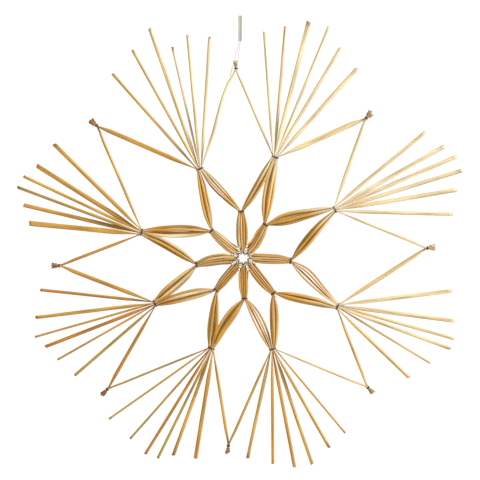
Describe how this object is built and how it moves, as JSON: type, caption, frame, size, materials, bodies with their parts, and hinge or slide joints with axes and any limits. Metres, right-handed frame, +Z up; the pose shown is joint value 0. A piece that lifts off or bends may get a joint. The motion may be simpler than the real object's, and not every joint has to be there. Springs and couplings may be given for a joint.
{
  "type": "straw star ornament",
  "caption": "Hanging star of folded natural straws tied with dark thread into petals, diamonds and fans, with a loop to hang it by.",
  "frame": {"origin": "inside the top of the hanging loop, where a hook or nail holds the ornament", "axes": "+Z up as it hangs, +X to the right seen from the front, front facing -Y, the star flat in the XZ plane"},
  "size_m": [0.2984, 0.0068, 0.3037],
  "materials": {
    "straw": "satin",
    "binding_thread": "matte",
    "hanging_cord": "matte"
  },
  "bodies": {
    "root": {"centre_thread": "binding_thread", "hanging_loop": "hanging_cord", "hanging_thread": "hanging_cord", "inner_tie_e": "binding_thread", "inner_tie_n": "binding_thread", "inner_tie_ne": "binding_thread", "inner_tie_nw": "binding_thread", "inner_tie_s": "binding_thread", "inner_tie_se": "binding_thread", "inner_tie_sw": "binding_thread", "inner_tie_w": "binding_thread", "outer_tie_ene": "binding_thread", "outer_tie_ese": "binding_thread", "outer_tie_nne": "binding_thread", "outer_tie_nnw": "binding_thread", "outer_tie_sse": "binding_thread", "outer_tie_ssw": "binding_thread", "outer_tie_wnw": "binding_thread", "outer_tie_wsw": "binding_thread", "straw_ene_1": "straw", "straw_ene_2": "straw", "straw_ene_3": "straw", "straw_ene_4": "straw", "straw_ese_1": "straw", "straw_ese_2": "straw", "straw_ese_3": "straw", "straw_ese_4": "straw", "straw_nne_1": "straw", "straw_nne_2": "straw", "straw_nne_3": "straw", "straw_nne_4": "straw", "straw_nnw_1": "straw", "straw_nnw_2": "straw", "straw_nnw_3": "straw", "straw_nnw_4": "straw", "straw_sse_1": "straw", "straw_sse_2": "straw", "straw_sse_3": "straw", "straw_sse_4": "straw", "straw_ssw_1": "straw", "straw_ssw_2": "straw", "straw_ssw_3": "straw", "straw_ssw_4": "straw", "straw_wnw_1": "straw", "straw_wnw_2": "straw", "straw_wnw_3": "straw", "straw_wnw_4": "straw", "straw_wsw_1": "straw", "straw_wsw_2": "straw", "straw_wsw_3": "straw", "straw_wsw_4": "straw", "tip_tie_e": "binding_thread", "tip_tie_n": "binding_thread", "tip_tie_ne": "binding_thread", "tip_tie_nw": "binding_thread", "tip_tie_s": "binding_thread", "tip_tie_se": "binding_thread", "tip_tie_sw": "binding_thread", "tip_tie_w": "binding_thread"}
  },
  "joints": []
}
